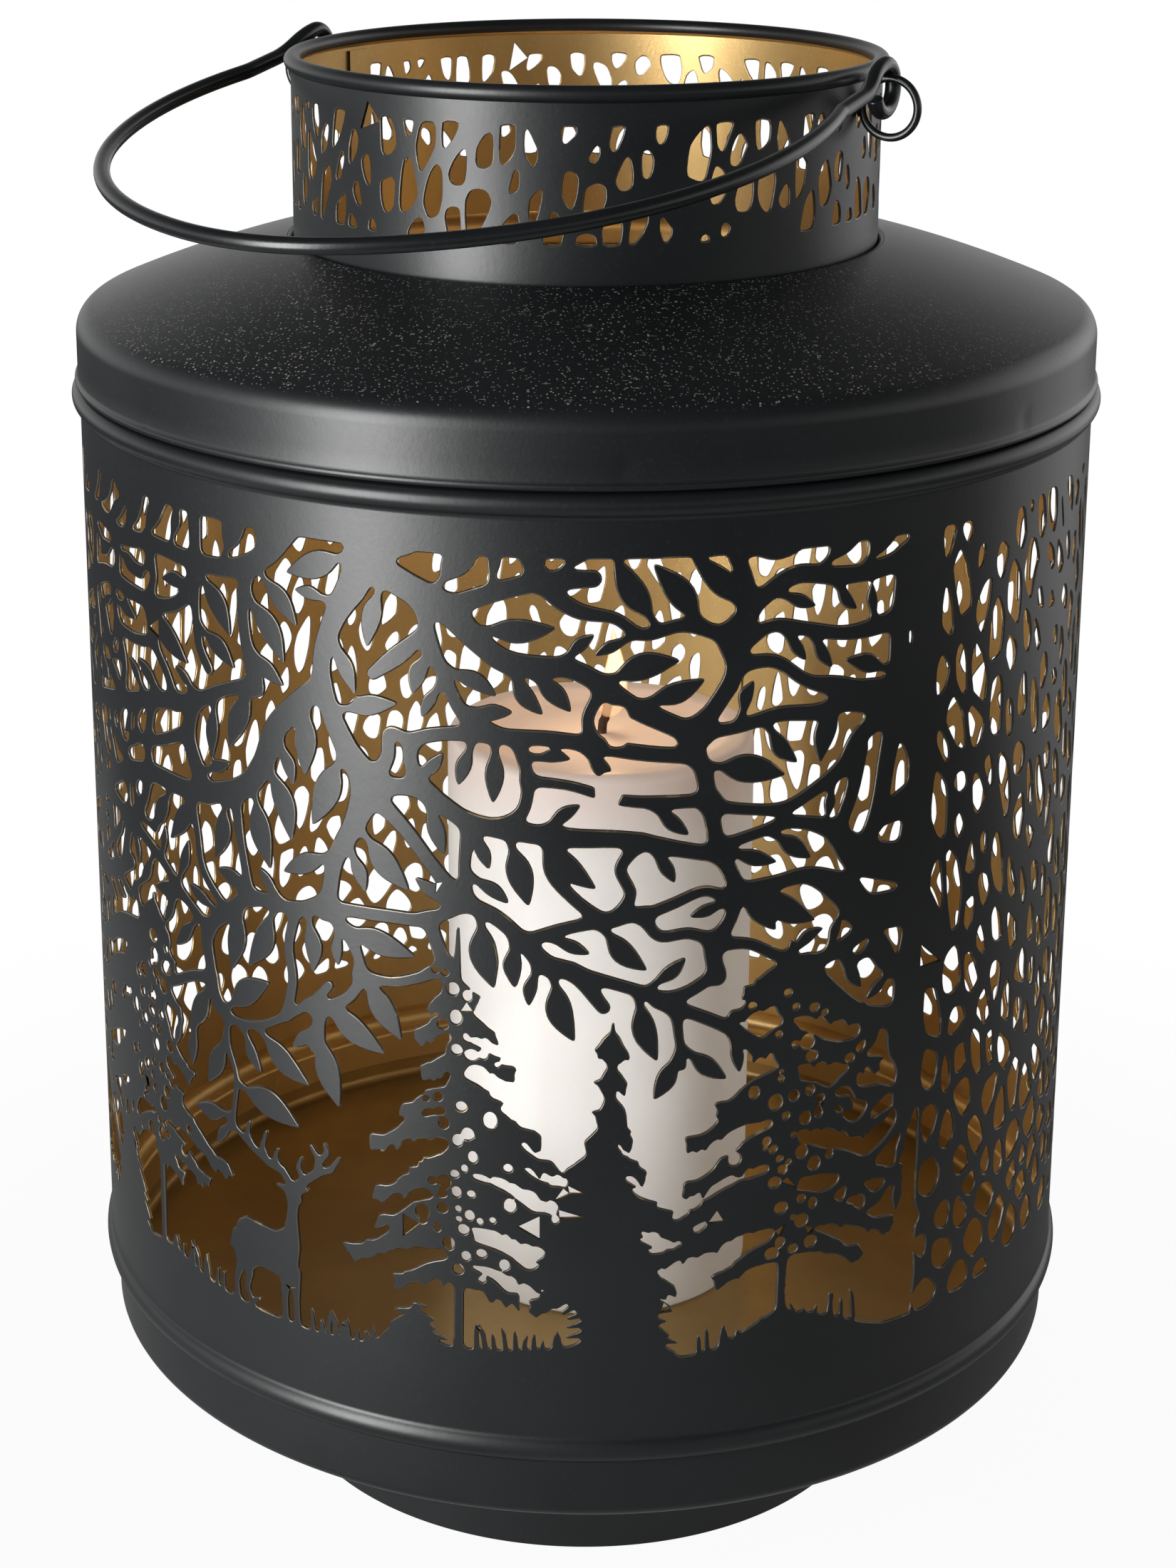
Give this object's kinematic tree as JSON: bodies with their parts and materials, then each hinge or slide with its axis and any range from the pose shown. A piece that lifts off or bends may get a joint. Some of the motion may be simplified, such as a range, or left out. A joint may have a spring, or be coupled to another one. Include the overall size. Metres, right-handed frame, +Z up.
{
  "type": "candle lantern",
  "caption": "Cylindrical candle lantern of pierced sheet metal with a domed lid, an open collar and a swinging wire bail, standing on a foot ring around a pillar candle.",
  "frame": {"origin": "centre of the foot ring's lower rim, on the lantern's axis, in the plane that it stands on", "axes": "+Z up along the lantern's axis, -Y the front with the woodland, +X to the right of someone facing the front"},
  "size_m": [0.2032, 0.212, 0.2932],
  "materials": {
    "black_steel": "satin-matt black powder coat, sprayed gold on the inside",
    "gold_lining": "satin gold paint on the inner faces",
    "wax": "smooth translucent ivory wax",
    "wick_cotton": "charred braided cotton"
  },
  "bodies": {
    "lantern": {"foot_ring": "black_steel", "base_pan": "black_steel", "drum": "black_steel", "lid": "black_steel", "collar": "black_steel", "ear_ring_right": "black_steel", "ear_ring_left": "black_steel"},
    "bail": {"bail": "black_steel"},
    "candle": {"candle": "wax", "wick": "wick_cotton"}
  },
  "joints": [
    {"name": "bail_hinge", "type": "hinge", "parent": "lantern", "child": "bail", "pos_m": [0, 0, 0.28732], "axis": [-0.8829, 0.4695, 0], "range_deg": [0, 162.2]},
    {"name": "candle_lift", "type": "slide", "parent": "lantern", "child": "candle", "axis": [0, 0, 1], "range_m": [0, 0.265]}
  ]
}
